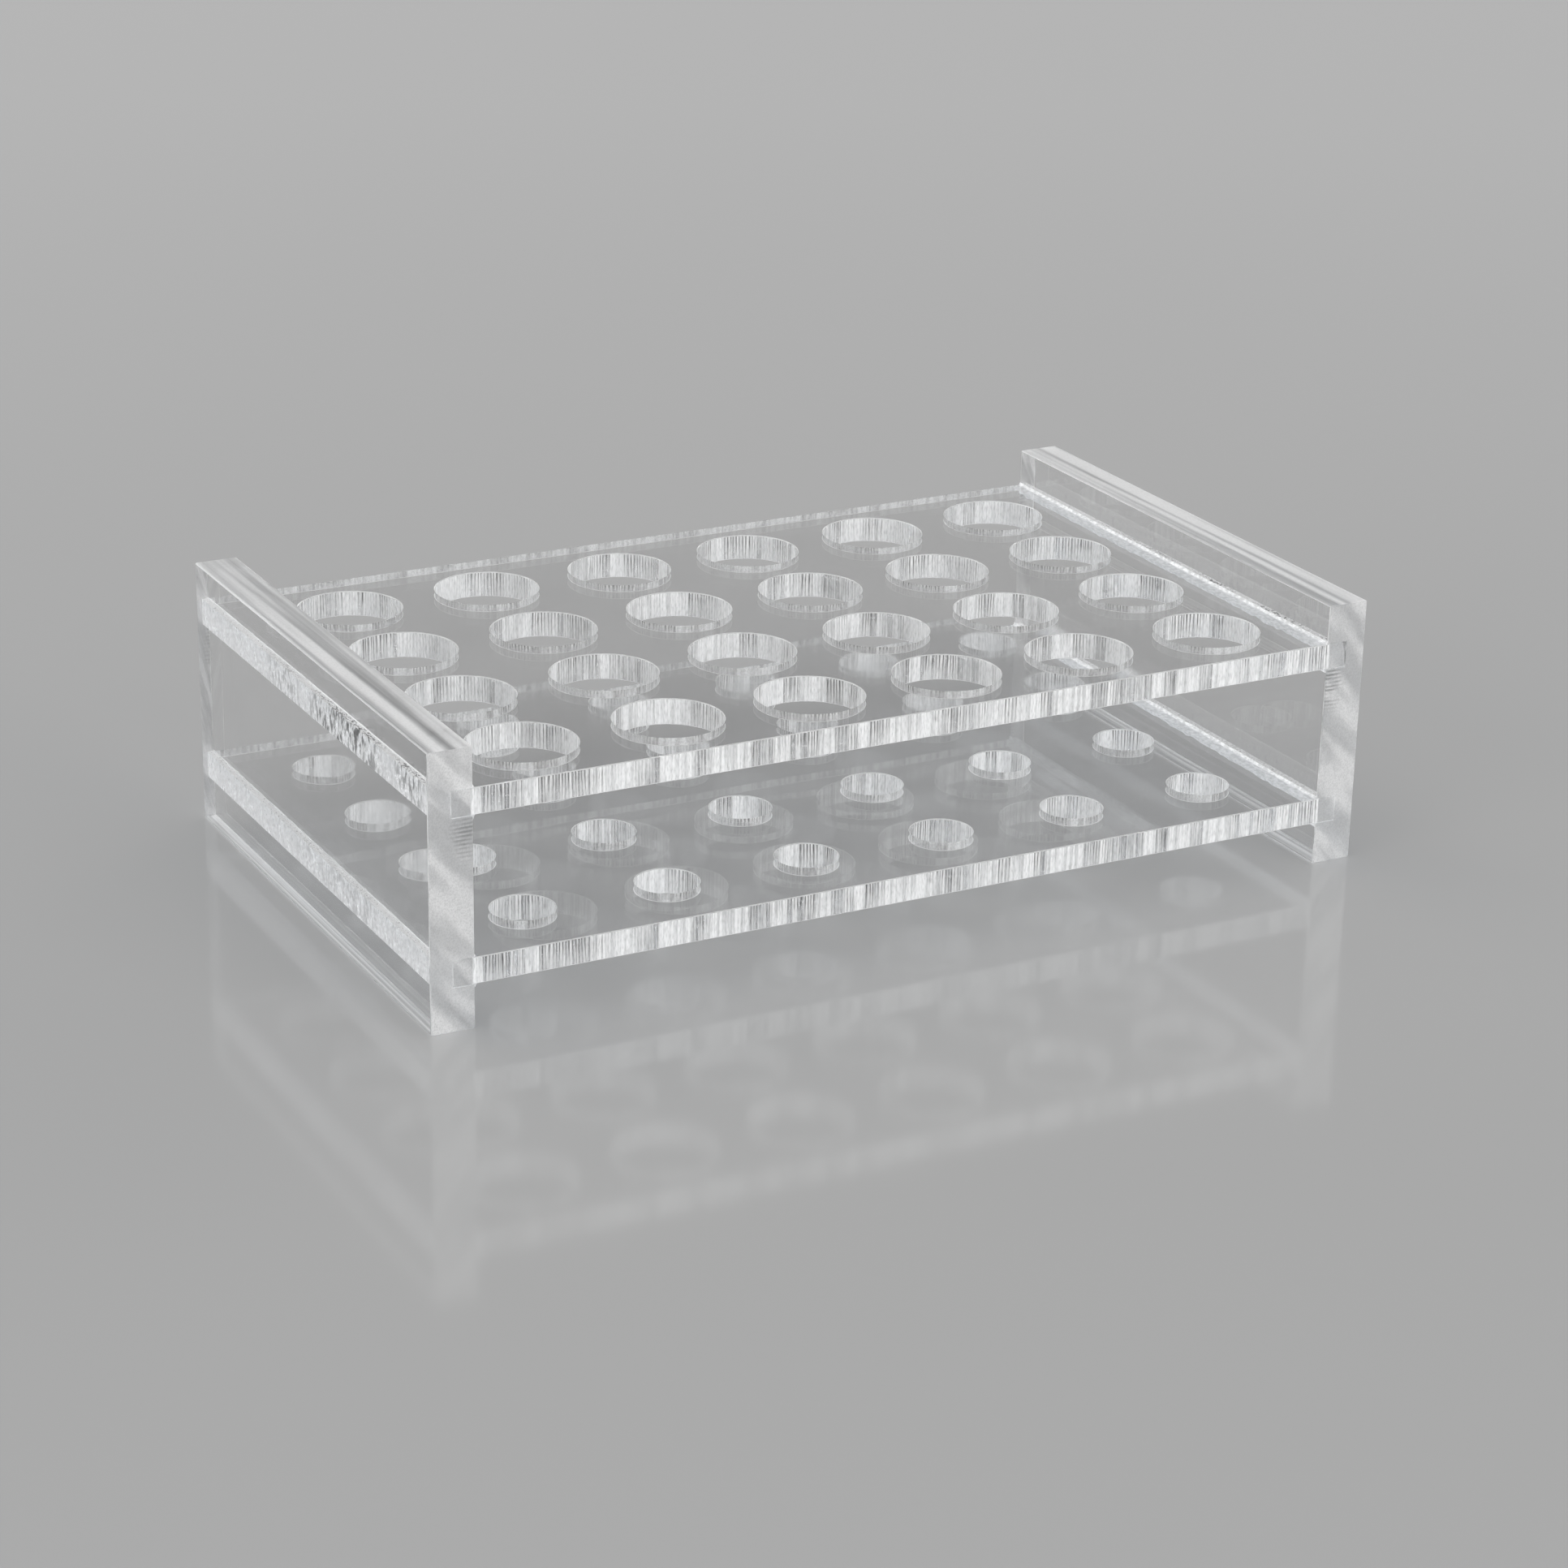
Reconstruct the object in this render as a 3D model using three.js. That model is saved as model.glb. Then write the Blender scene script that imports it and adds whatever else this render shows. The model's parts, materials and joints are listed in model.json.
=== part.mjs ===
// Rack for microcentrifuge tubes, cut from clear acrylic sheet.
// Two end plates stand on edge and carry two flat shelves, one above the other.
// A tube hangs in a large hole of the upper shelf, with its tip in the small hole below.
// Millimetres, +Z up. X runs along the rack, the front is at -Y, and the origin is on the
// surface that the rack stands on, below its middle.

import * as THREE from 'three';

// ---- Driving dimensions -------------------------------------------------------------

// Holes: columns run along the rack, rows run from front to back.
const columnCount = 6;
const rowCount = 4;
const tubeHoleDiameter = 12;
const tipHoleDiameter = 7.1;

// Solid sheet left between two neighbouring tube holes, along the rack and across it.
const landBetweenColumns = 5;
const landBetweenRows = 3.9;

// Solid sheet left between the outermost tube holes and an end plate, or a long edge.
const landToEndPlate = 3.8;
const landToLongEdge = 3.9;

// Sheet thicknesses.
const shelfThickness = 3;
const endPlateThickness = 5;

// Heights: free space under, between and over the shelves.
const footHeight = 5;
const shelfSpacing = 15.7;
const rimHeight = 4.5;

// Each shelf end sits in a groove that runs right across the inner face of an end plate.
// A thin film of cement fills the clearance all round the shelf end.
const grooveDepth = 2.5;
const cementFilm = 0.05;

// Flat sides that stand for the round wall of a hole.
const tubeHoleSides = 32;
const tipHoleSides = 24;

// ---- Sizes that follow ---------------------------------------------------------------

const columnPitch = tubeHoleDiameter + landBetweenColumns;
const rowPitch = tubeHoleDiameter + landBetweenRows;
const holeFieldLength = (columnCount - 1) * columnPitch + tubeHoleDiameter;
const holeFieldWidth = (rowCount - 1) * rowPitch + tubeHoleDiameter;

const innerLength = holeFieldLength + 2 * landToEndPlate;
const rackLength = innerLength + 2 * endPlateThickness;
const rackWidth = holeFieldWidth + 2 * landToLongEdge;

const shelfTenonLength = grooveDepth - cementFilm;
const shelfLength = innerLength + 2 * shelfTenonLength;

const lowerShelfBottom = footHeight;
const upperShelfBottom = lowerShelfBottom + shelfThickness + shelfSpacing;
const rackHeight = upperShelfBottom + shelfThickness + rimHeight;

// ---- Material ------------------------------------------------------------------------

function clearAcrylic(name) {
  return new THREE.MeshStandardMaterial({
    name,
    color: 0xdfe4e6,
    roughness: 0.06,
    metalness: 0,
    transparent: true,
    opacity: 0.35,
  });
}

// ---- End plates ----------------------------------------------------------------------

// Section of an end plate, seen along the rack's depth. The outer face is at x = 0 and
// the inner face, with its two grooves, is at x = endPlateThickness.
function endPlateSection() {
  const grooveFloor = endPlateThickness - grooveDepth;
  const section = new THREE.Shape();
  section.moveTo(0, 0);
  section.lineTo(endPlateThickness, 0);
  for (const shelfBottom of [lowerShelfBottom, upperShelfBottom]) {
    const grooveBottom = shelfBottom - cementFilm;
    const grooveTop = shelfBottom + shelfThickness + cementFilm;
    section.lineTo(endPlateThickness, grooveBottom);
    section.lineTo(grooveFloor, grooveBottom);
    section.lineTo(grooveFloor, grooveTop);
    section.lineTo(endPlateThickness, grooveTop);
  }
  section.lineTo(endPlateThickness, rackHeight);
  section.lineTo(0, rackHeight);
  section.closePath();
  return section;
}

// The section is drawn in X and Y, extruded along Z, and stood up so that its height
// points along +Z and its length runs from front to back.
function endPlateGeometry() {
  const geometry = new THREE.ExtrudeGeometry(endPlateSection(), {
    depth: rackWidth,
    bevelEnabled: false,
  });
  geometry.rotateX(Math.PI / 2);
  geometry.translate(-rackLength / 2, rackWidth / 2, 0);
  return geometry;
}

// Both end plates are the same piece: the right one is the left one turned half round.
function endPlate(name, turn) {
  const mesh = new THREE.Mesh(endPlateGeometry(), clearAcrylic(name));
  mesh.name = name;
  mesh.rotation.z = turn;
  return mesh;
}

// ---- Shelves -------------------------------------------------------------------------

function shelfOutline() {
  const outline = new THREE.Shape();
  outline.moveTo(-shelfLength / 2, -rackWidth / 2);
  outline.lineTo(shelfLength / 2, -rackWidth / 2);
  outline.lineTo(shelfLength / 2, rackWidth / 2);
  outline.lineTo(-shelfLength / 2, rackWidth / 2);
  outline.closePath();
  return outline;
}

function holeCentres() {
  const centres = [];
  for (let row = 0; row < rowCount; row += 1) {
    for (let column = 0; column < columnCount; column += 1) {
      const x = (column - (columnCount - 1) / 2) * columnPitch;
      const y = (row - (rowCount - 1) / 2) * rowPitch;
      centres.push(new THREE.Vector2(x, y));
    }
  }
  return centres;
}

// A shelf is a flat plate with one round hole at each tube place.
function shelf(name, bottom, holeDiameter, holeSides) {
  const outline = shelfOutline();
  for (const centre of holeCentres()) {
    const hole = new THREE.Path();
    hole.absarc(centre.x, centre.y, holeDiameter / 2, 0, 2 * Math.PI, true);
    outline.holes.push(hole);
  }
  const geometry = new THREE.ExtrudeGeometry(outline, {
    depth: shelfThickness,
    curveSegments: holeSides / 2,
    bevelEnabled: false,
  });
  const mesh = new THREE.Mesh(geometry, clearAcrylic(name));
  mesh.name = name;
  mesh.position.z = bottom;
  return mesh;
}

// ---- Assembly ------------------------------------------------------------------------

const tubeRack = new THREE.Group();
tubeRack.name = 'tube_rack';

tubeRack.add(endPlate('left_end_plate', 0));
tubeRack.add(endPlate('right_end_plate', Math.PI));
tubeRack.add(shelf('upper_shelf', upperShelfBottom, tubeHoleDiameter, tubeHoleSides));
tubeRack.add(shelf('lower_shelf', lowerShelfBottom, tipHoleDiameter, tipHoleSides));

export default tubeRack;
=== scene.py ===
import json
import math

import bpy
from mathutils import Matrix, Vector


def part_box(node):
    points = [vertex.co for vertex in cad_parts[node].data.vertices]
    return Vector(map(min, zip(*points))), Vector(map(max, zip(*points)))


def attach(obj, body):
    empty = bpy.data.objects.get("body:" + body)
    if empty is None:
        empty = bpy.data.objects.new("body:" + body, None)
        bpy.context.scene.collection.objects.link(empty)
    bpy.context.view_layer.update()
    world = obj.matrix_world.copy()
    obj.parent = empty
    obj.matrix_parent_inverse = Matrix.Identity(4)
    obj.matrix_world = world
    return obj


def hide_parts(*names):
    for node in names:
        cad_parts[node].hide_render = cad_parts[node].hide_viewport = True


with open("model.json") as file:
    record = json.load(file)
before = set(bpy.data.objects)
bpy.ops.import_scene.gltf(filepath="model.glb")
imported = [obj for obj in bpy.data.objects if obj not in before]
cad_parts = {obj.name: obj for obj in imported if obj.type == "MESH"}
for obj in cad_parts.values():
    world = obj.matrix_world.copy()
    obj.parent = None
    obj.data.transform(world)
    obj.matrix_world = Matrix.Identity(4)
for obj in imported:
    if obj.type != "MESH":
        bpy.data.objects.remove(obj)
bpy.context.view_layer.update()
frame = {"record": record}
bpy.ops.object.select_all(action="DESELECT")


# ---- End plates ------------------------------------------------------------------------
# The two end plates are strips of thick clear acrylic that stand on edge. Their big faces
# keep the sheet's own polish, their edges are sawn and only rubbed down, and two grooves
# are milled right across each inner face, where the shelf ends are cemented in.

plate_low, plate_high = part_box("left_end_plate")
upper_low, upper_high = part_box("upper_shelf")
lower_low, lower_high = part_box("lower_shelf")

cement_film = 0.00005
groove_floor = upper_low.x - cement_film
plate_arris = 0.00016

# The section of the plate, at its front end.
bpy.ops.mesh.primitive_plane_add(size=1, rotation=(math.pi / 2, 0, 0))
left_plate = bpy.context.object
left_plate.name = "left_end_sheet"
left_plate.scale = (plate_high.x - plate_low.x, plate_high.z - plate_low.z, 1)
left_plate.location = (
    (plate_low.x + plate_high.x) / 2,
    plate_low.y,
    (plate_low.z + plate_high.z) / 2,
)
bpy.ops.object.transform_apply(location=True, rotation=True, scale=True)

# The section is cut along the lines of the grooves, and the grooves are taken out.
bpy.ops.object.mode_set(mode="EDIT")
bpy.ops.mesh.select_mode(type="FACE")
bpy.ops.mesh.select_all(action="SELECT")
bpy.ops.mesh.bisect(plane_co=(groove_floor, 0, 0), plane_no=(1, 0, 0))
for shelf_low, shelf_high in ((lower_low, lower_high), (upper_low, upper_high)):
    for height in (shelf_low.z - cement_film, shelf_high.z + cement_film):
        bpy.ops.mesh.select_all(action="SELECT")
        bpy.ops.mesh.bisect(plane_co=(0, 0, height), plane_no=(0, 0, 1))


def select_only(piece, kind, wanted):
    """Leave a piece in edit mode with nothing selected but its wanted points, edges or faces."""
    bpy.ops.object.mode_set(mode="EDIT")
    bpy.ops.mesh.select_mode(type=kind)
    bpy.ops.mesh.select_all(action="DESELECT")
    bpy.ops.object.mode_set(mode="OBJECT")
    mesh = piece.data
    parts = {"VERT": mesh.vertices, "EDGE": mesh.edges, "FACE": mesh.polygons}[kind]
    for part in parts:
        part.select = wanted(part)
    bpy.ops.object.mode_set(mode="EDIT")


def at_shelf_height(height):
    """True for a height within a groove, from one of its walls to the other."""
    reach = 1.5 * cement_film
    in_lower_groove = lower_low.z - reach < height < lower_high.z + reach
    in_upper_groove = upper_low.z - reach < height < upper_high.z + reach
    return in_lower_groove or in_upper_groove


def lies_in_groove(face):
    """True for a face of the section that the grooves take away."""
    return face.center.x > groove_floor and at_shelf_height(face.center.z)


select_only(left_plate, "FACE", lies_in_groove)
bpy.ops.mesh.delete(type="FACE")
bpy.ops.mesh.select_all(action="SELECT")
bpy.ops.mesh.dissolve_limited(angle_limit=math.radians(1))

# The section is drawn out along the whole width of the rack.
bpy.ops.mesh.select_all(action="SELECT")
bpy.ops.mesh.extrude_region_move(
    TRANSFORM_OT_translate={"value": (0, plate_high.y - plate_low.y, 0)}
)
bpy.ops.mesh.select_all(action="SELECT")
bpy.ops.mesh.normals_make_consistent(inside=False)


def is_eased(edge):
    """True for an edge that the hand meets: all but those inside a groove and at its ends."""
    first, second = (left_plate.data.vertices[end].co for end in edge.vertices)
    middle = (first + second) / 2
    in_groove = groove_floor - cement_film < middle.x < plate_high.x - cement_film
    return not (in_groove and at_shelf_height(middle.z))


select_only(left_plate, "EDGE", is_eased)
bpy.ops.mesh.bevel(offset=plate_arris, segments=2, affect="EDGES")
bpy.ops.mesh.select_all(action="DESELECT")
bpy.ops.object.mode_set(mode="OBJECT")


def add_node(material, kind, inputs=None, **properties):
    """Add one shader node to a material, with values for its inputs and its properties."""
    made = material.node_tree.nodes.new(kind)
    for name, value in properties.items():
        setattr(made, name, value)
    for name, value in (inputs or {}).items():
        made.inputs[name].default_value = value
    return made


def new_acrylic(name, roughness, transmission, frost):
    """Start a clear acrylic finish. Frost is the share of light that it scatters on
    through, and lamp light also passes straight through it."""
    material = bpy.data.materials.new(name)
    material.use_nodes = True
    tree = material.node_tree
    surface = tree.nodes["Principled BSDF"]
    surface.inputs["IOR"].default_value = 1.49
    surface.inputs["Roughness"].default_value = roughness
    surface.inputs["Transmission Weight"].default_value = transmission
    body = surface.outputs["BSDF"]
    if frost:
        glow = add_node(material, "ShaderNodeBsdfTranslucent")
        glow.inputs["Color"].default_value = (0.94, 0.95, 0.96, 1)
        frosting = add_node(material, "ShaderNodeMixShader", {"Fac": frost})
        tree.links.new(body, frosting.inputs[1])
        tree.links.new(glow.outputs["BSDF"], frosting.inputs[2])
        body = frosting.outputs["Shader"]
    light_path = add_node(material, "ShaderNodeLightPath")
    passing = add_node(material, "ShaderNodeBsdfTransparent")
    passing.inputs["Color"].default_value = (0.955, 0.96, 0.965, 1)
    either = add_node(material, "ShaderNodeMixShader")
    tree.links.new(light_path.outputs["Is Shadow Ray"], either.inputs["Fac"])
    tree.links.new(body, either.inputs[1])
    tree.links.new(passing.outputs["BSDF"], either.inputs[2])
    tree.links.new(either.outputs["Shader"], tree.nodes["Material Output"].inputs["Surface"])
    return material


def add_noise(material, coordinates, grain_size, detail=2, turn=(0, 0, 0)):
    """Add a noise pattern with the size of its grains each way, and turn it."""
    placing = add_node(material, "ShaderNodeMapping", vector_type="TEXTURE")
    placing.inputs["Scale"].default_value = grain_size
    placing.inputs["Rotation"].default_value = turn
    noise = add_node(material, "ShaderNodeTexNoise", {"Scale": 1, "Detail": detail})
    links = material.node_tree.links
    links.new(coordinates, placing.inputs["Vector"])
    links.new(placing.outputs["Vector"], noise.inputs["Vector"])
    return noise.outputs["Fac"]


def add_range(material, source, low, high, to_low, to_high):
    """Add a node that turns low to high of the source into to_low to to_high."""
    inputs = {"From Min": low, "From Max": high, "To Min": to_low, "To Max": to_high}
    ranging = add_node(material, "ShaderNodeMapRange", inputs)
    material.node_tree.links.new(source, ranging.inputs["Value"])
    return ranging.outputs["Result"]


def add_colours(material, source, stops):
    """Add a ramp of greys, with stops of (place, lightness)."""
    ramp = add_node(material, "ShaderNodeValToRGB")
    while len(ramp.color_ramp.elements) < len(stops):
        ramp.color_ramp.elements.new(0.5)
    for element, (place, lightness) in zip(ramp.color_ramp.elements, stops):
        element.position = place
        element.color = (lightness, lightness, lightness, 1)
    material.node_tree.links.new(source, ramp.inputs["Fac"])
    return ramp.outputs["Color"]


def add_bump(material, height, strength, distance, under=None):
    """Add a bump from a height pattern, and return its normal."""
    bump = add_node(material, "ShaderNodeBump")
    bump.inputs["Strength"].default_value = strength
    bump.inputs["Distance"].default_value = distance
    material.node_tree.links.new(height, bump.inputs["Height"])
    if under is not None:
        material.node_tree.links.new(under, bump.inputs["Normal"])
    return bump.outputs["Normal"]


# The sheet's own polish, with a faint waviness from casting and a few wiped smears.
polish = new_acrylic("polished_face", roughness=0.02, transmission=1, frost=0)
polish_surface = polish.node_tree.nodes["Principled BSDF"]
polish_links = polish.node_tree.links
polish_place = add_node(polish, "ShaderNodeTexCoord").outputs["Object"]
cast_wave = add_noise(polish, polish_place, (0.022, 0.022, 0.022), detail=1)
polish_links.new(
    add_bump(polish, cast_wave, strength=0.25, distance=0.0003),
    polish_surface.inputs["Normal"],
)
smears = add_noise(polish, polish_place, (0.014, 0.006, 0.009), detail=5, turn=(0.2, 0.3, 0.7))
polish_links.new(
    add_range(polish, smears, 0.35, 0.75, 0.005, 0.06),
    polish_surface.inputs["Roughness"],
)
polish_links.new(
    add_colours(polish, smears, ((0.3, 0.985), (0.75, 0.955))),
    polish_surface.inputs["Base Color"],
)

# Rubbed edge, along the top and the foot: satin and pale, with long streaks one way.
rubbed = new_acrylic("rubbed_edge", roughness=0.25, transmission=0.4, frost=0.2)
rubbed_surface = rubbed.node_tree.nodes["Principled BSDF"]
rubbed_links = rubbed.node_tree.links
rubbed_place = add_node(rubbed, "ShaderNodeTexCoord").outputs["Object"]
rubbed_grain = add_noise(rubbed, rubbed_place, (0.0002, 0.0005, 0.0002), detail=3)
rub_streaks = add_noise(rubbed, rubbed_place, (0.0016, 0.11, 0.003), detail=4)


def add_maths(material, operation, first, second=0):
    """Add a node that works on two sources, and return its result."""
    working = add_node(material, "ShaderNodeMath", operation=operation)
    for socket, source in zip(working.inputs, (first, second)):
        if isinstance(source, (int, float)):
            socket.default_value = source
        else:
            material.node_tree.links.new(source, socket)
    return working.outputs["Value"]


def add_tint(material, under, over):
    """Add a node that multiplies two colours."""
    tinting = add_node(material, "ShaderNodeMixRGB", {"Fac": 1}, blend_type="MULTIPLY")
    material.node_tree.links.new(under, tinting.inputs["Color1"])
    material.node_tree.links.new(over, tinting.inputs["Color2"])
    return tinting.outputs["Color"]


rubbed_links.new(
    add_tint(
        rubbed,
        add_colours(rubbed, rubbed_grain, ((0.3, 0.86), (0.6, 0.98))),
        add_colours(rubbed, rub_streaks, ((0.38, 0.34), (0.47, 0.72), (0.57, 1))),
    ),
    rubbed_surface.inputs["Base Color"],
)
rubbed_links.new(
    add_range(rubbed, rub_streaks, 0.36, 0.62, 0.75, 0.2),
    rubbed_surface.inputs["Transmission Weight"],
)
rubbed_links.new(
    add_range(rubbed, rubbed_grain, 0.3, 0.7, 0.3, 0.4),
    rubbed_surface.inputs["Roughness"],
)
rubbed_links.new(
    add_bump(rubbed, rubbed_grain, strength=0.05, distance=0.00001),
    rubbed_surface.inputs["Normal"],
)

# Sawn end, front and back: even satin with fine grain, crossed by soft slanting bands of painted
# shade, for the shadows that refraction through the plate throws on it. The saw's ripples show
# in patches just below the upper shelf, on the half next to the plate's inner face, and there
# are a few small dark flaws.
sawn = new_acrylic("sawn_end", roughness=0.25, transmission=0.4, frost=0.15)
sawn_surface = sawn.node_tree.nodes["Principled BSDF"]
sawn_links = sawn.node_tree.links
sawn_place = add_node(sawn, "ShaderNodeTexCoord").outputs["Object"]
sawn_grain = add_noise(sawn, sawn_place, (0.00013, 0.00013, 0.00018), detail=2, turn=(0, 0.3, 0))
painted_shade_slants = add_noise(sawn, sawn_place, (0.012, 0.04, 0.0024), detail=3, turn=(0, 0.85, 0))
saw_ripples = add_node(
    sawn,
    "ShaderNodeTexWave",
    {"Scale": 690, "Distortion": 2.6, "Detail": 1, "Detail Scale": 0.3},
    bands_direction="Z",
)
sawn_links.new(sawn_place, saw_ripples.inputs["Vector"])
ripple_patches = add_noise(sawn, sawn_place, (0.0022, 0.02, 0.0011), detail=2)
flaws = add_noise(sawn, sawn_place, (0.0024, 0.0024, 0.0024), detail=1)
sawn_ways = add_node(sawn, "ShaderNodeSeparateXYZ")
sawn_links.new(sawn_place, sawn_ways.inputs["Vector"])
from_middle = add_maths(sawn, "ABSOLUTE", sawn_ways.outputs["X"])
inner_face = -plate_high.x

# The ripples are deepest from just under the shelf, and fade out further down and further out.
ripples_full_from = upper_low.z - 0.0003
ripples_full_to = upper_low.z - 0.0025
ripples_end = upper_low.z - 0.0062
below_shelf = add_maths(
    sawn,
    "MULTIPLY",
    add_range(sawn, sawn_ways.outputs["Z"], upper_low.z, ripples_full_from, 0.03, 1),
    add_range(sawn, sawn_ways.outputs["Z"], ripples_end, ripples_full_to, 0.04, 1),
)
ripple_reach = add_maths(
    sawn,
    "MULTIPLY",
    below_shelf,
    add_range(sawn, from_middle, inner_face + 0.003, inner_face + 0.0009, 0.05, 1),
)
ripple_depth = add_maths(
    sawn,
    "MULTIPLY",
    ripple_reach,
    add_range(sawn, ripple_patches, 0.36, 0.54, 0.25, 1),
)
rippled = add_maths(sawn, "MULTIPLY", saw_ripples.outputs["Fac"], ripple_depth)
# Painted shade: the slanting bands darken the base colour to 0.7 of its tone.
sawn_links.new(
    add_tint(
        sawn,
        add_tint(
            sawn,
            add_colours(sawn, sawn_grain, ((0.3, 0.52), (0.62, 0.7))),
            add_colours(sawn, painted_shade_slants, ((0.4, 1), (0.6, 0.7))),
        ),
        add_tint(
            sawn,
            add_colours(sawn, rippled, ((0.1, 1), (0.8, 0.45))),
            add_colours(sawn, flaws, ((0.76, 1), (0.82, 0.5))),
        ),
    ),
    sawn_surface.inputs["Base Color"],
)
sawn_links.new(
    add_range(sawn, painted_shade_slants, 0.4, 0.6, 0.12, 0.6),
    sawn_surface.inputs["Transmission Weight"],
)
sawn_links.new(
    add_range(sawn, sawn_grain, 0.3, 0.7, 0.3, 0.4),
    sawn_surface.inputs["Roughness"],
)
sawn_fine = add_bump(sawn, sawn_grain, strength=0.05, distance=0.00001)
sawn_links.new(
    add_bump(sawn, rippled, strength=0.9, distance=0.00005, under=sawn_fine),
    sawn_surface.inputs["Normal"],
)

# Cemented surface: pale, even and finely grained, with stretches where it is crinkled and
# caught air, and shows light and dark. It is crinkled most at the front of the upper joint.
cemented = new_acrylic("cemented_surface", roughness=0.25, transmission=0.3, frost=0.3)
cemented_surface = cemented.node_tree.nodes["Principled BSDF"]
cemented_links = cemented.node_tree.links
cemented_place = add_node(cemented, "ShaderNodeTexCoord").outputs["Object"]
crazing = add_noise(cemented, cemented_place, (0.0003, 0.0003, 0.0003), detail=3)
crinkles = add_noise(cemented, cemented_place, (0.0006, 0.0005, 0.0013), detail=4)
air_stretches = add_noise(cemented, cemented_place, (0.025, 0.013, 0.025), detail=1)
cemented_ways = add_node(cemented, "ShaderNodeSeparateXYZ")
cemented_links.new(cemented_place, cemented_ways.inputs["Vector"])
crinkles_fade_at = 0.02
crinkles_full_at = -0.012
crinkle_reach = add_maths(
    cemented,
    "MULTIPLY",
    add_range(
        cemented, cemented_ways.outputs["Y"], crinkles_fade_at, crinkles_full_at, 0.12, 1
    ),
    add_range(cemented, cemented_ways.outputs["Z"], lower_high.z, upper_low.z, 0.3, 1),
)
crinkle_depth = add_maths(
    cemented,
    "MULTIPLY",
    add_range(cemented, air_stretches, 0.42, 0.55, 0.15, 1),
    crinkle_reach,
)
crinkled = add_node(cemented, "ShaderNodeMixRGB")
crinkled.inputs["Color1"].default_value = (0.98, 0.98, 0.98, 1)
cemented_links.new(crinkle_depth, crinkled.inputs["Fac"])
cemented_links.new(
    add_colours(cemented, crinkles, ((0.42, 0.13), (0.52, 1))),
    crinkled.inputs["Color2"],
)
cemented_colour = add_tint(
    cemented,
    add_colours(cemented, crazing, ((0.3, 0.8), (0.6, 0.97))),
    crinkled.outputs["Color"],
)
cemented_links.new(cemented_colour, cemented_surface.inputs["Base Color"])
cemented_links.new(
    cemented_colour,
    cemented.node_tree.nodes["Translucent BSDF"].inputs["Color"],
)
cemented_links.new(
    add_range(cemented, crinkles, 0.58, 0.66, 0.12, 0.95),
    cemented_surface.inputs["Transmission Weight"],
)
cemented_links.new(
    add_bump(cemented, crinkles, strength=0.8, distance=0.00006),
    cemented_surface.inputs["Normal"],
)

plate_finishes = (polish, rubbed, cemented, sawn)
for finish in plate_finishes:
    left_plate.data.materials.append(finish)
for face in left_plate.data.polygons:
    at_outer_face = abs(face.center.x - plate_low.x) < cement_film
    at_inner_face = abs(face.center.x - plate_high.x) < cement_film
    if abs(face.normal.x) > 0.99 and (at_outer_face or at_inner_face):
        finish = polish
    elif face.center.x > groove_floor - plate_arris and at_shelf_height(face.center.z):
        finish = cemented
    elif abs(face.normal.y) > 0.5:
        finish = sawn
    else:
        finish = rubbed
    face.material_index = plate_finishes.index(finish)

# The right end plate is the same piece, turned half round.
bpy.ops.object.duplicate()
right_plate = bpy.context.object
right_plate.name = "right_end_sheet"
bpy.ops.transform.rotate(value=math.pi, orient_axis="Z", center_override=(0, 0, 0))
bpy.ops.object.transform_apply(location=True, rotation=True, scale=True)
bpy.ops.object.select_all(action="DESELECT")

for plate, cad_node in ((left_plate, "left_end_plate"), (right_plate, "right_end_plate")):
    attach(plate, "root")
    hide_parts(cad_node)


# ---- Upper shelf -----------------------------------------------------------------------
# The upper shelf is a flat sheet of thin clear acrylic, cut by laser. The beam leaves
# upright ridges on the two long edges and in the holes, and its faces stay polished. Each
# of its holes takes the body of one tube and stops the tube's rim.

tube_places = []
for opening in frame["record"]["physics"]["openings"]:
    if opening["name"].startswith("tube_place"):
        corner, far_corner = opening["box_m"]
        middle_x = (corner[0] + far_corner[0]) / 2
        middle_y = (corner[1] + far_corner[1]) / 2
        tube_places.append((middle_x, middle_y))

# Laser-cut wall: glossy between the fine ridges that the beam leaves, and whitened by them.
# Painted shade darkens the ridges in the colour, for the dark lines that their refraction
# shows: in broad blocks of the wall it is strong, elsewhere faint and the wall frosted. It fades
# towards the sheet's underside, and is faint all along the back edge, which so is painted
# lighter, as if lit through from behind.
laser_cut = new_acrylic("laser_cut_wall", roughness=0.06, transmission=0.6, frost=0.22)
laser_surface = laser_cut.node_tree.nodes["Principled BSDF"]
laser_links = laser_cut.node_tree.links
along_cut = add_node(laser_cut, "ShaderNodeUVMap", uv_map="along_the_cut").outputs["UV"]
upright = add_node(laser_cut, "ShaderNodeMapping", {"Scale": (1, 0.07, 1)})
laser_links.new(along_cut, upright.inputs["Vector"])
ridge_waves = add_node(
    laser_cut,
    "ShaderNodeTexWave",
    {"Scale": 830, "Distortion": 7, "Detail": 3, "Detail Scale": 1.1},
    bands_direction="X",
)
laser_links.new(upright.outputs["Vector"], ridge_waves.inputs["Vector"])
ridges = ridge_waves.outputs["Fac"]
blocks = add_noise(laser_cut, along_cut, (0.0028, 0.005, 1), detail=3)
run_and_rise = add_node(laser_cut, "ShaderNodeSeparateXYZ")
laser_links.new(along_cut, run_and_rise.inputs["Vector"])
stretches = add_node(
    laser_cut, "ShaderNodeTexVoronoi", {"Scale": 620}, voronoi_dimensions="1D"
)
laser_links.new(run_and_rise.outputs["X"], stretches.inputs["W"])
broad_ridges = add_noise(laser_cut, along_cut, (0.0007, 0.012, 1), detail=1)
specks = add_noise(laser_cut, along_cut, (0.00014, 0.0008, 1), detail=2)
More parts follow.
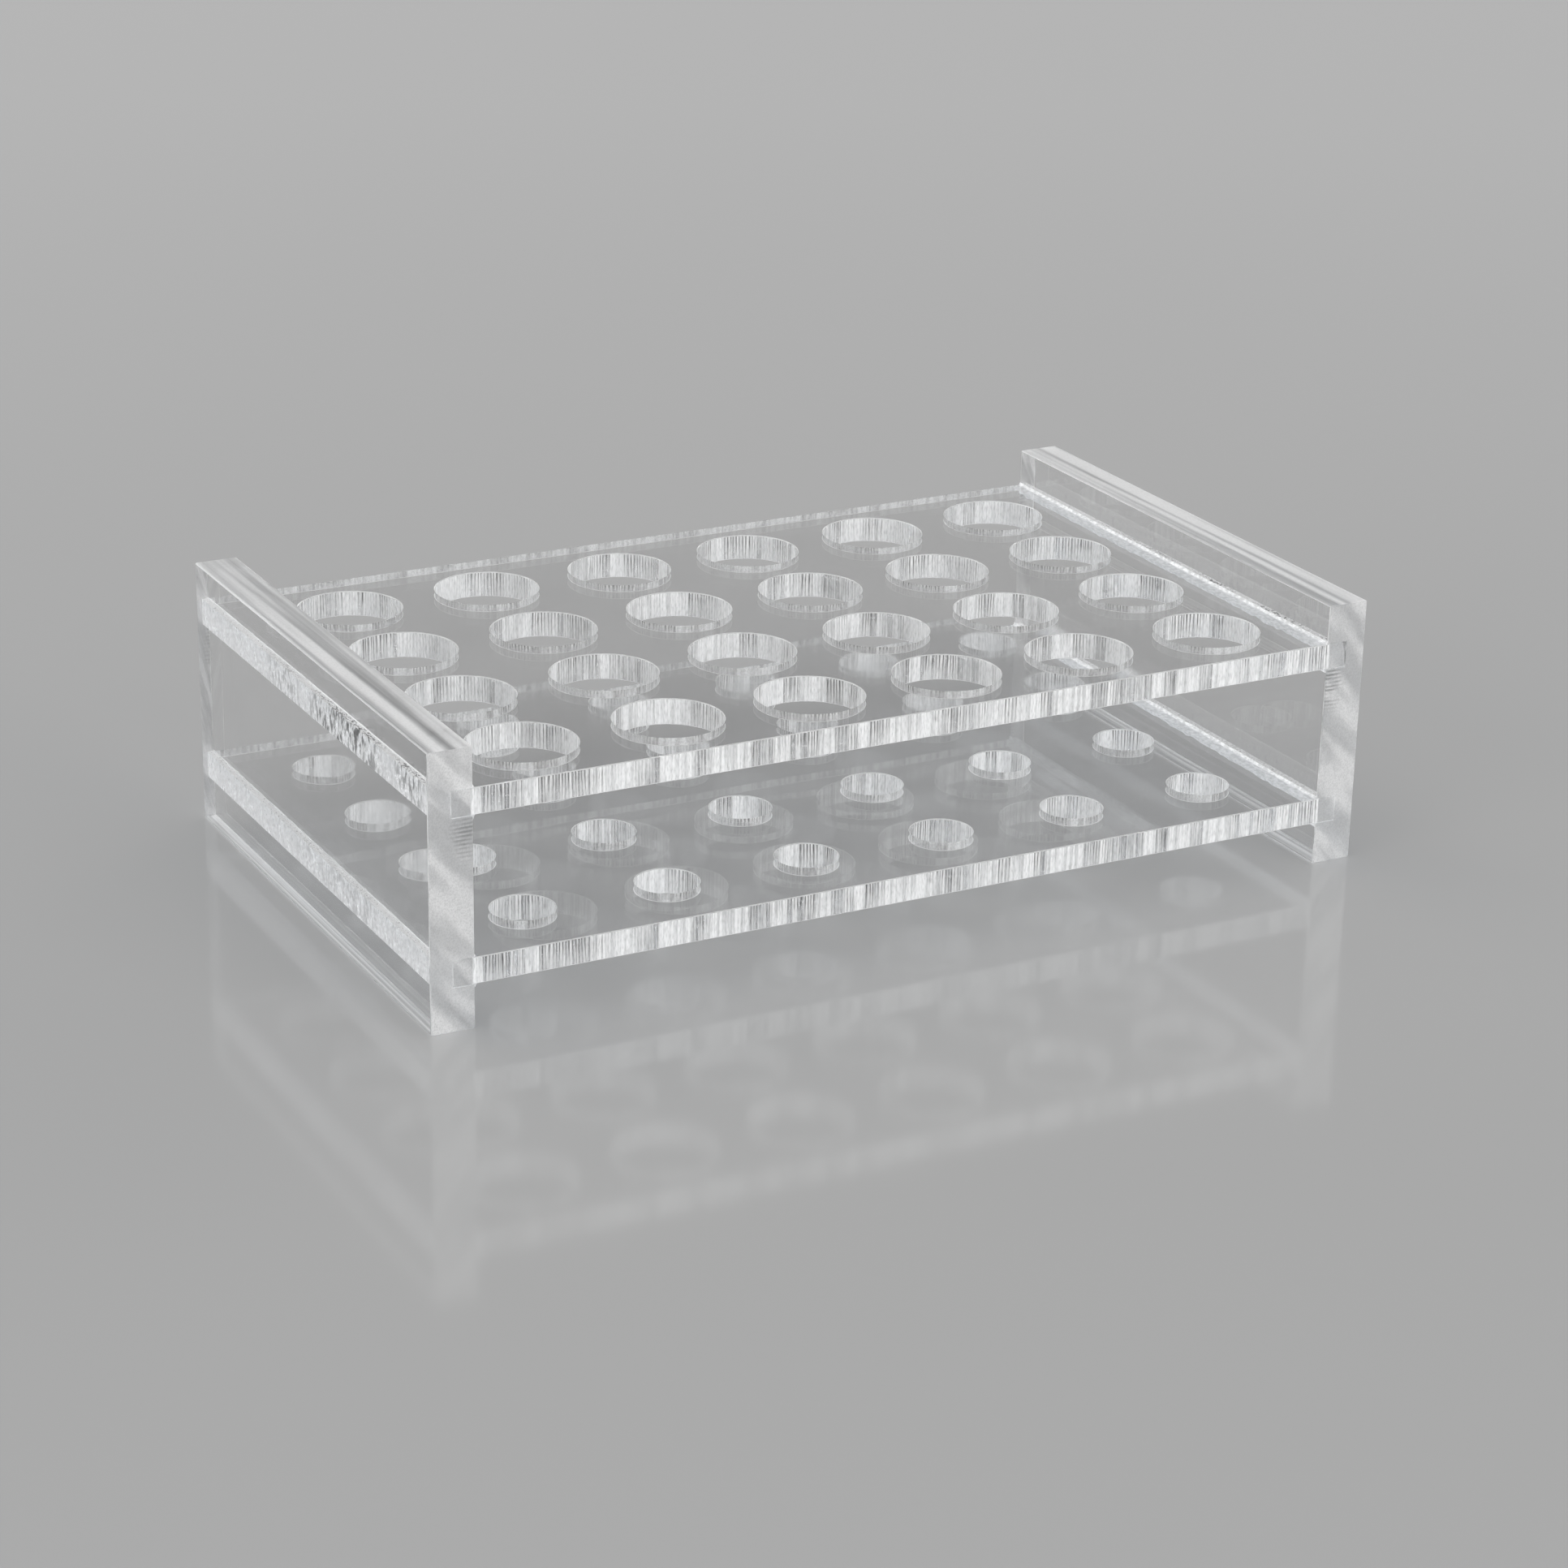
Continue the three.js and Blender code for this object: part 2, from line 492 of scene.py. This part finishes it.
painted_shade_along = add_maths(
    laser_cut,
    "MULTIPLY",
    add_range(laser_cut, blocks, 0.4, 0.56, 0.35, 1),
    add_range(laser_cut, stretches.outputs["Color"], 0.38, 0.52, 0.25, 1),
)
laser_place = add_node(laser_cut, "ShaderNodeTexCoord").outputs["Object"]
laser_ways = add_node(laser_cut, "ShaderNodeSeparateXYZ")
laser_links.new(laser_place, laser_ways.inputs["Vector"])
# Painted light: the painted ridge shade is taken off along the back edge, so it shows bright as
# if lit from behind.
near_back_edge = upper_high.y - 0.00075
at_back_edge = upper_high.y - 0.00035
painted_shade_across = add_maths(
    laser_cut,
    "MULTIPLY",
    add_range(laser_cut, run_and_rise.outputs["Y"], 0.0004, 0.0022, 0.45, 1),
    add_range(laser_cut, laser_ways.outputs["Y"], near_back_edge, at_back_edge, 1, 0.2),
)
painted_shade_strength = add_maths(laser_cut, "MULTIPLY", painted_shade_along, painted_shade_across)
# Painted shade: dark ridge lines are mixed into the wall's colour and its translucent glow, by
# this strength.
painted_ridge_shade = add_node(laser_cut, "ShaderNodeMixRGB")
laser_links.new(painted_shade_strength, painted_ridge_shade.inputs["Fac"])
painted_ridge_shade.inputs["Color1"].default_value = (0.95, 0.96, 0.965, 1)
laser_links.new(
    add_colours(laser_cut, ridges, ((0, 0.14), (0.3, 0.6), (0.55, 1))),
    painted_ridge_shade.inputs["Color2"],
)
cut_colour_and_shade = add_tint(
    laser_cut,
    painted_ridge_shade.outputs["Color"],
    add_colours(laser_cut, specks, ((0.32, 0.74), (0.54, 1))),
)
laser_links.new(cut_colour_and_shade, laser_surface.inputs["Base Color"])
laser_links.new(
    cut_colour_and_shade,
    laser_cut.node_tree.nodes["Translucent BSDF"].inputs["Color"],
)
laser_links.new(
    add_maths(
        laser_cut,
        "ADD",
        add_range(laser_cut, broad_ridges, 0.4, 0.6, -0.35, 0.35),
        add_range(laser_cut, stretches.outputs["Color"], 0.36, 0.62, 0.15, 0.7),
    ),
    laser_surface.inputs["Transmission Weight"],
)
laser_links.new(
    add_range(laser_cut, blocks, 0.35, 0.65, 0.12, 0.03),
    laser_surface.inputs["Roughness"],
)
laser_links.new(
    add_bump(laser_cut, ridges, strength=0.9, distance=0.00002),
    laser_surface.inputs["Normal"],
)

# Melted rim: the thin bright line round every laser-cut edge.
melted = new_acrylic("melted_rim", roughness=0.18, transmission=0.25, frost=0.4)
melted_surface = melted.node_tree.nodes["Principled BSDF"]
melted_links = melted.node_tree.links
melted_place = add_node(melted, "ShaderNodeTexCoord").outputs["Object"]
melted_beads = add_noise(melted, melted_place, (0.0004, 0.0004, 0.0004), detail=2)
melted_links.new(
    add_colours(melted, melted_beads, ((0.35, 0.8), (0.5, 1))),
    melted_surface.inputs["Base Color"],
)
melted_links.new(
    add_range(melted, melted_beads, 0.4, 0.65, 0.12, 0.25),
    melted_surface.inputs["Roughness"],
)
melted_links.new(
    add_bump(melted, melted_beads, strength=0.3, distance=0.00003),
    melted_surface.inputs["Normal"],
)

ridge_pitch = 0.00022
cut_wave = 0.000015
cut_ripple = 0.000004
rim_arris = 0.0001
entry_nick = 0.00009
entry_turn = -0.2
turn_per_hole = 2.4


def roughen(ring_height, seed):
    """Shake the selected points along the sheet: long waves first, and ripples on them."""
    bpy.ops.transform.vertex_random(offset=cut_wave, seed=seed)
    for _ in range(4):
        bpy.ops.mesh.vertices_smooth(factor=0.5)
    bpy.ops.transform.vertex_random(offset=cut_ripple, seed=seed + 1)
    bpy.ops.transform.resize(value=(1, 1, 0), center_override=(0, 0, ring_height))


def draw_up(height, steps):
    """Draw a flat outline up from its height. Each step is a rise, and the spread in X and in
    Y of the outline at its top."""
    for rise, spread_x, spread_y in steps:
        height += rise
        bpy.ops.mesh.extrude_region_move(TRANSFORM_OT_translate={"value": (0, 0, rise)})
        bpy.ops.transform.resize(
            value=(spread_x, spread_y, 1), center_override=(0, 0, height)
        )
    bpy.ops.mesh.select_all(action="SELECT")
    bpy.ops.mesh.normals_make_consistent(inside=False)
    bpy.ops.object.mode_set(mode="OBJECT")


def laser_cut_shelf(name, cad_node, hole_diameter, seed):
    """Cut one shelf: its outline is drawn and thickened, and the holes are taken out."""
    low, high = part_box(cad_node)
    length = high.x - low.x
    width = high.y - low.y
    thickness = high.z - low.z

    # The outline, with one point for each ridge of the two long edges.
    bpy.ops.mesh.primitive_plane_add(size=1, location=(0, 0, low.z))
    shelf = bpy.context.object
    shelf.name = name
    shelf.scale = (length, width - 2 * rim_arris, 1)
    bpy.ops.object.transform_apply(location=True, rotation=True, scale=True)
    bpy.ops.object.mode_set(mode="EDIT")
    bpy.ops.mesh.select_mode(type="VERT")
    bpy.ops.mesh.delete(type="ONLY_FACE")

    def runs_along_rack(edge):
        start, end = (shelf.data.vertices[index].co for index in edge.vertices)
        return abs(start.y - end.y) < cement_film

    select_only(shelf, "EDGE", runs_along_rack)
    bpy.ops.mesh.subdivide(number_cuts=round(length / ridge_pitch))
    select_only(shelf, "VERT", lambda point: abs(point.co.x) < length / 2 - cement_film)
    roughen(low.z, seed)
    bpy.ops.mesh.select_all(action="SELECT")
    bpy.ops.mesh.edge_face_add()

    # Three steps up: out over the lower arris, up the edge, and in over the upper arris.
    spread = width / (width - 2 * rim_arris)
    straight_rise = thickness - 2 * rim_arris
    draw_up(low.z, ((rim_arris, 1, spread), (straight_rise, 1, 1), (rim_arris, 1, 1 / spread)))

    # A plug with the shape of one hole. It widens at the shelf's two faces.
    ridge_count = round(math.pi * hole_diameter / ridge_pitch)
    overshoot = 0.0005
    flare = hole_diameter / 2 + rim_arris + overshoot
    bottom = low.z - overshoot
    bpy.ops.object.select_all(action="DESELECT")
    bpy.ops.mesh.primitive_circle_add(
        vertices=ridge_count, radius=hole_diameter / 2, fill_type="NGON", location=(0, 0, bottom)
    )
    plug = bpy.context.object
    bpy.ops.object.transform_apply(location=True, rotation=True, scale=True)
    bpy.ops.object.mode_set(mode="EDIT")
    bpy.ops.mesh.select_all(action="SELECT")
    roughen(bottom, seed + 2)
    widening = flare / (hole_diameter / 2)
    bpy.ops.transform.resize(value=(widening, widening, 1), center_override=(0, 0, bottom))
    steps = (
        (overshoot + rim_arris, 1 / widening, 1 / widening),
        (straight_rise, 1, 1),
        (overshoot + rim_arris, widening, widening),
    )
    draw_up(bottom, steps)

    # One plug for each tube place, each turned on from the last, and all joined.
    plugs = []
    for count, (middle_x, middle_y) in enumerate(tube_places):
        bpy.ops.object.select_all(action="DESELECT")
        plug.select_set(True)
        bpy.context.view_layer.objects.active = plug
        bpy.ops.object.duplicate()
        copy = bpy.context.object
        bpy.ops.transform.rotate(
            value=turn_per_hole * count, orient_axis="Z", center_override=(0, 0, 0)
        )
        bpy.ops.transform.translate(value=(middle_x, middle_y, 0))
        plugs.append(copy)
    bpy.ops.object.select_all(action="DESELECT")
    for copy in plugs:
        copy.select_set(True)
    bpy.context.view_layer.objects.active = plugs[0]
    bpy.ops.object.join()
    plugs_joined = bpy.context.object

    # The beam enters each hole at its right, and leaves a small nick there.
    def at_entry(point):
        for middle_x, middle_y in tube_places:
            turn = math.atan2(point.co.y - middle_y, point.co.x - middle_x)
            near = math.hypot(point.co.y - middle_y, point.co.x - middle_x) < hole_diameter
            if near and abs(turn - entry_turn) < ridge_pitch / hole_diameter:
                return True
        return False

    select_only(plugs_joined, "VERT", at_entry)
    bpy.ops.transform.translate(value=(entry_nick, 0, 0))
    bpy.ops.object.mode_set(mode="OBJECT")

    bpy.ops.object.select_all(action="DESELECT")
    shelf.select_set(True)
    bpy.context.view_layer.objects.active = shelf
    bpy.ops.object.modifier_add(type="BOOLEAN")
    cutting = shelf.modifiers[-1]
    cutting.operation = "DIFFERENCE"
    cutting.solver = "EXACT"
    cutting.object = plugs_joined
    bpy.ops.object.modifier_apply(modifier=cutting.name)
    bpy.data.objects.remove(plugs_joined)
    bpy.data.objects.remove(plug)
    return shelf


shelf_finishes = (polish, laser_cut, cemented, sawn, melted)
map_step_per_hole = 0.05


def finish_shelf(shelf, cad_node, hole_diameter):
    """Give a shelf its finishes and the map that the ridges of its cut walls follow."""
    low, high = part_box(cad_node)
    for finish in shelf_finishes:
        shelf.data.materials.append(finish)
    while shelf.data.uv_layers:
        shelf.data.uv_layers.remove(shelf.data.uv_layers[0])
    cut_map = shelf.data.uv_layers.new(name="along_the_cut")
    for face in shelf.data.polygons:
        if abs(face.normal.z) > 0.99:
            finish = polish
        elif abs(face.normal.x) > 0.99 and abs(face.center.x) > high.x - cement_film:
            finish = cemented
        elif abs(face.center.x) > inner_face:
            finish = sawn
        elif abs(face.normal.z) > 0.1:
            finish = melted
        else:
            finish = laser_cut
        face.material_index = shelf_finishes.index(finish)
        on_long_edge = abs(face.center.y) > high.y - 2 * rim_arris
        nearest = min(
            tube_places,
            key=lambda place: (face.center.x - place[0]) ** 2 + (face.center.y - place[1]) ** 2,
        )
        number = tube_places.index(nearest)
        face_angle = math.atan2(face.center.y - nearest[1], face.center.x - nearest[0])
        for corner in face.loop_indices:
            point = shelf.data.vertices[shelf.data.loops[corner].vertex_index].co
            if finish != laser_cut:
                run = point.x
                rise = point.y
            elif on_long_edge:
                run = point.x
                rise = point.z - low.z
            else:
                turn = math.atan2(point.y - nearest[1], point.x - nearest[0]) - face_angle
                turn = (turn + math.pi) % (2 * math.pi) - math.pi
                run = (face_angle + turn) * hole_diameter / 2 + map_step_per_hole * number
                rise = point.z - low.z
            cut_map.data[corner].uv = (run, rise)
    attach(shelf, "root")
    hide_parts(cad_node)


tube_hole_diameter = 0.012
upper_shelf = laser_cut_shelf("upper_tube_shelf", "upper_shelf", tube_hole_diameter, seed=11)
finish_shelf(upper_shelf, "upper_shelf", tube_hole_diameter)


# ---- Lower shelf -----------------------------------------------------------------------
# The lower shelf is cut from the same sheet to the same outline. Its smaller holes lie
# right below the upper ones and hold the tips of the tubes.

tip_hole_diameter = 0.0071
lower_shelf = laser_cut_shelf("lower_tip_shelf", "lower_shelf", tip_hole_diameter, seed=31)
finish_shelf(lower_shelf, "lower_shelf", tip_hole_diameter)


# ---- Cement ----------------------------------------------------------------------------
# Solvent cement fills the thin clearance round each shelf end. It was run in along the
# joint, so a little of it stands in the inner corners as an uneven bead. Its front and back
# ends are finished as the plates' sawn ends are.

# The cement keeps a hair's breadth off the sheets, so that no two faces share a place.
cement_gap = 0.000004
finest_cut = 0.000001
upper_bead = 0.00025
lower_bead = 0.00045
bead_step = 0.0009
bead_hollow = 0.6
bead_wander = 0.45


def stretch_of_cement(name, shelf_low, shelf_high, seed):
    """Make the cement of one shelf end at the left plate, from the front to the back."""
    mouth = plate_high.x + cement_gap
    tip_of_shelf = shelf_low.x - cement_gap
    film_low = shelf_low.z - cement_film + cement_gap
    film_high = shelf_high.z + cement_film - cement_gap
    under_shelf = shelf_low.z - cement_gap
    over_shelf = shelf_high.z + cement_gap
    west = groove_floor + cement_gap
    east = mouth + upper_bead
    base = under_shelf - lower_bead
    top = over_shelf + upper_bead

    # The section starts as a whole rectangle, and the plate and the shelf are cut out.
    bpy.ops.object.select_all(action="DESELECT")
    bpy.ops.mesh.primitive_plane_add(size=1, rotation=(math.pi / 2, 0, 0))
    cement = bpy.context.object
    cement.name = name
    cement.scale = (east - west, top - base, 1)
    cement.location = ((west + east) / 2, shelf_low.y + cement_film, (base + top) / 2)
    bpy.ops.object.transform_apply(location=True, rotation=True, scale=True)
    bpy.ops.object.mode_set(mode="EDIT")
    bpy.ops.mesh.select_mode(type="FACE")
    for across in (tip_of_shelf, mouth):
        bpy.ops.mesh.select_all(action="SELECT")
        bpy.ops.mesh.bisect(plane_co=(across, 0, 0), plane_no=(1, 0, 0), threshold=finest_cut)
    for height in (film_low, under_shelf, over_shelf, film_high):
        bpy.ops.mesh.select_all(action="SELECT")
        bpy.ops.mesh.bisect(plane_co=(0, 0, height), plane_no=(0, 0, 1), threshold=finest_cut)

    def taken_by_sheets(face):
        in_shelf = face.center.x > tip_of_shelf and under_shelf < face.center.z < over_shelf
        beyond_film = face.center.z < film_low or face.center.z > film_high
        return in_shelf or (face.center.x < mouth and beyond_film)

    select_only(cement, "FACE", taken_by_sheets)
    bpy.ops.mesh.delete(type="FACE")
    bpy.ops.mesh.select_all(action="SELECT")
    bpy.ops.mesh.dissolve_limited(angle_limit=math.radians(1))

    # The outer corner of each bead is drawn in, so that the bead is hollow.
    for level, draw_in in ((base, bead_hollow * lower_bead), (top, -bead_hollow * upper_bead)):

        def at_outer_corner(point):
            beside = abs(point.co.x - east) < cement_gap
            return beside and abs(point.co.z - level) < cement_gap

        select_only(cement, "VERT", at_outer_corner)
        bpy.ops.transform.translate(value=(-bead_hollow * upper_bead, 0, draw_in))

    # The section is drawn along the joint in short steps.
    bpy.ops.mesh.select_all(action="SELECT")
    joint_length = shelf_high.y - shelf_low.y - 2 * cement_film
    step_count = round(joint_length / bead_step)
    for _ in range(step_count):
        bpy.ops.mesh.extrude_region_move(
            TRANSFORM_OT_translate={"value": (0, joint_length / step_count, 0)}
        )
    bpy.ops.mesh.select_all(action="SELECT")
    bpy.ops.mesh.normals_make_consistent(inside=False)

    # The beads' edges wander: on the plate up and down, and on the shelf in and out.
    for level, bead in ((base, lower_bead), (top, upper_bead)):

        def on_plate(point):
            return abs(point.co.x - mouth) < cement_gap and abs(point.co.z - level) < cement_gap

        select_only(cement, "VERT", on_plate)
        bpy.ops.transform.vertex_random(offset=bead_wander * bead, seed=seed)
        bpy.ops.transform.resize(value=(0, 1, 1), center_override=(mouth, 0, 0))
    for level in (under_shelf, over_shelf):

        def on_shelf(point):
            return point.co.x > mouth + cement_film and abs(point.co.z - level) < cement_gap

        select_only(cement, "VERT", on_shelf)
        bpy.ops.transform.vertex_random(offset=bead_wander * upper_bead, seed=seed + 1)
        bpy.ops.transform.resize(value=(1, 1, 0), center_override=(0, 0, level))
    bpy.ops.mesh.select_all(action="DESELECT")
    bpy.ops.object.mode_set(mode="OBJECT")
    bpy.ops.object.shade_smooth_by_angle(angle=math.radians(40))
    return cement


# Cement that has run out and set: milky, uneven and full of small bubbles.
set_cement = new_acrylic("set_cement", roughness=0.25, transmission=0.55, frost=0.3)
set_surface = set_cement.node_tree.nodes["Principled BSDF"]
set_links = set_cement.node_tree.links
set_place = add_node(set_cement, "ShaderNodeTexCoord").outputs["Object"]
bubbles = add_noise(set_cement, set_place, (0.0004, 0.0006, 0.0004), detail=3)
set_links.new(
    add_colours(set_cement, bubbles, ((0.35, 0.84), (0.55, 0.98))),
    set_surface.inputs["Base Color"],
)
set_links.new(
    add_range(set_cement, bubbles, 0.4, 0.6, 0.6, 0.3),
    set_surface.inputs["Transmission Weight"],
)
set_links.new(
    add_bump(set_cement, bubbles, strength=0.4, distance=0.00003),
    set_surface.inputs["Normal"],
)

cement_finishes = (set_cement, sawn)
for height_name, shelf_low, shelf_high, seed in (
    ("upper", upper_low, upper_high, 51),
    ("lower", lower_low, lower_high, 71),
):
    left_cement = stretch_of_cement(f"left_{height_name}_cement", shelf_low, shelf_high, seed)
    for finish in cement_finishes:
        left_cement.data.materials.append(finish)
    for face in left_cement.data.polygons:
        if abs(face.normal.y) > 0.9:
            face.material_index = cement_finishes.index(sawn)
    bpy.ops.object.duplicate()
    right_cement = bpy.context.object
    right_cement.name = f"right_{height_name}_cement"
    bpy.ops.transform.rotate(value=math.pi, orient_axis="Z", center_override=(0, 0, 0))
    bpy.ops.object.transform_apply(location=True, rotation=True, scale=True)
    for cement in (left_cement, right_cement):
        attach(cement, "root")


# ---- Studio ----------------------------------------------------------------------------
# A plain pale floor with a faint gloss, a wide soft lamp above and behind the rack, and three
# low ones in front and at the sides. The air is pale near the horizon and darker above.

floor_gap = 0.00002
bpy.ops.object.select_all(action="DESELECT")
bpy.ops.mesh.primitive_plane_add(size=8, location=(0, 0, -floor_gap))
floor = bpy.context.object
floor.name = "studio_floor"
floor_paint = bpy.data.materials.new("pale_floor")
floor_paint.use_nodes = True
floor_surface = floor_paint.node_tree.nodes["Principled BSDF"]
floor_surface.inputs["Base Color"].default_value = (0.41, 0.41, 0.41, 1)
floor_surface.inputs["Roughness"].default_value = 0.09
floor.data.materials.append(floor_paint)


def hang_lamp(name, place, size, radiance, mirrored):
    """Hang a square area lamp that faces the rack. Only a mirrored lamp shows in gloss."""
    bpy.ops.object.light_add(type="AREA", location=place)
    lamp = bpy.context.object
    lamp.name = name
    lamp.rotation_euler = Vector(place).to_track_quat("Z", "Y").to_euler()
    lamp.data.shape = "SQUARE"
    lamp.data.size = size
    lamp.data.energy = radiance * math.pi * size * size
    lamp.visible_camera = False
    lamp.visible_glossy = mirrored
    lamp.visible_transmission = mirrored


hang_lamp("rear_softbox", (-0.9, 1.9, 2.5), size=2.0, radiance=5, mirrored=True)
hang_lamp("front_softbox", (1.4, -2.9, 1.1), size=1.8, radiance=9, mirrored=False)
hang_lamp("left_softbox", (-2.8, -0.8, 1.05), size=1.5, radiance=6, mirrored=False)
hang_lamp("right_softbox", (2.6, 1.6, 1.1), size=1.5, radiance=6, mirrored=False)

world = bpy.data.worlds.new("studio_air")
world.use_nodes = True
air = world.node_tree
direction = air.nodes.new("ShaderNodeTexCoord")
upward = air.nodes.new("ShaderNodeSeparateXYZ")
fading = air.nodes.new("ShaderNodeMapRange")
fading.inputs["From Min"].default_value = 0.2
fading.inputs["From Max"].default_value = 0.45
fading.inputs["To Min"].default_value = 0.5
fading.inputs["To Max"].default_value = 0.1
air.links.new(direction.outputs["Generated"], upward.inputs["Vector"])
air.links.new(upward.outputs["Z"], fading.inputs["Value"])
air.links.new(fading.outputs["Result"], air.nodes["Background"].inputs["Strength"])
air.nodes["Background"].inputs["Color"].default_value = (1, 1, 1, 1)
bpy.context.scene.world = world

# Light crosses many faces of clear sheet on its way, so it is let bounce often.
scene = bpy.context.scene
scene.view_settings.view_transform = "Standard"
scene.cycles.max_bounces = 24
scene.cycles.transmission_bounces = 24
scene.cycles.glossy_bounces = 12
scene.cycles.transparent_max_bounces = 24
scene.cycles.caustics_reflective = False
scene.cycles.caustics_refractive = False


# ---- Camera ----------------------------------------------------------------------------
# The camera stands in front of the rack, to its left and well above it, and looks down on it
# through a short telephoto lens.

bpy.ops.object.camera_add(
    location=(-0.20027, -0.37731, 0.17259),
    rotation=(math.radians(68.759), math.radians(-1.026), math.radians(-27.712)),
)
camera = bpy.context.object
camera.name = "studio_camera"
camera.data.sensor_width = 36
camera.data.lens = 91.08
camera.data.clip_start = 0.02
camera.data.clip_end = 30
scene.camera = camera
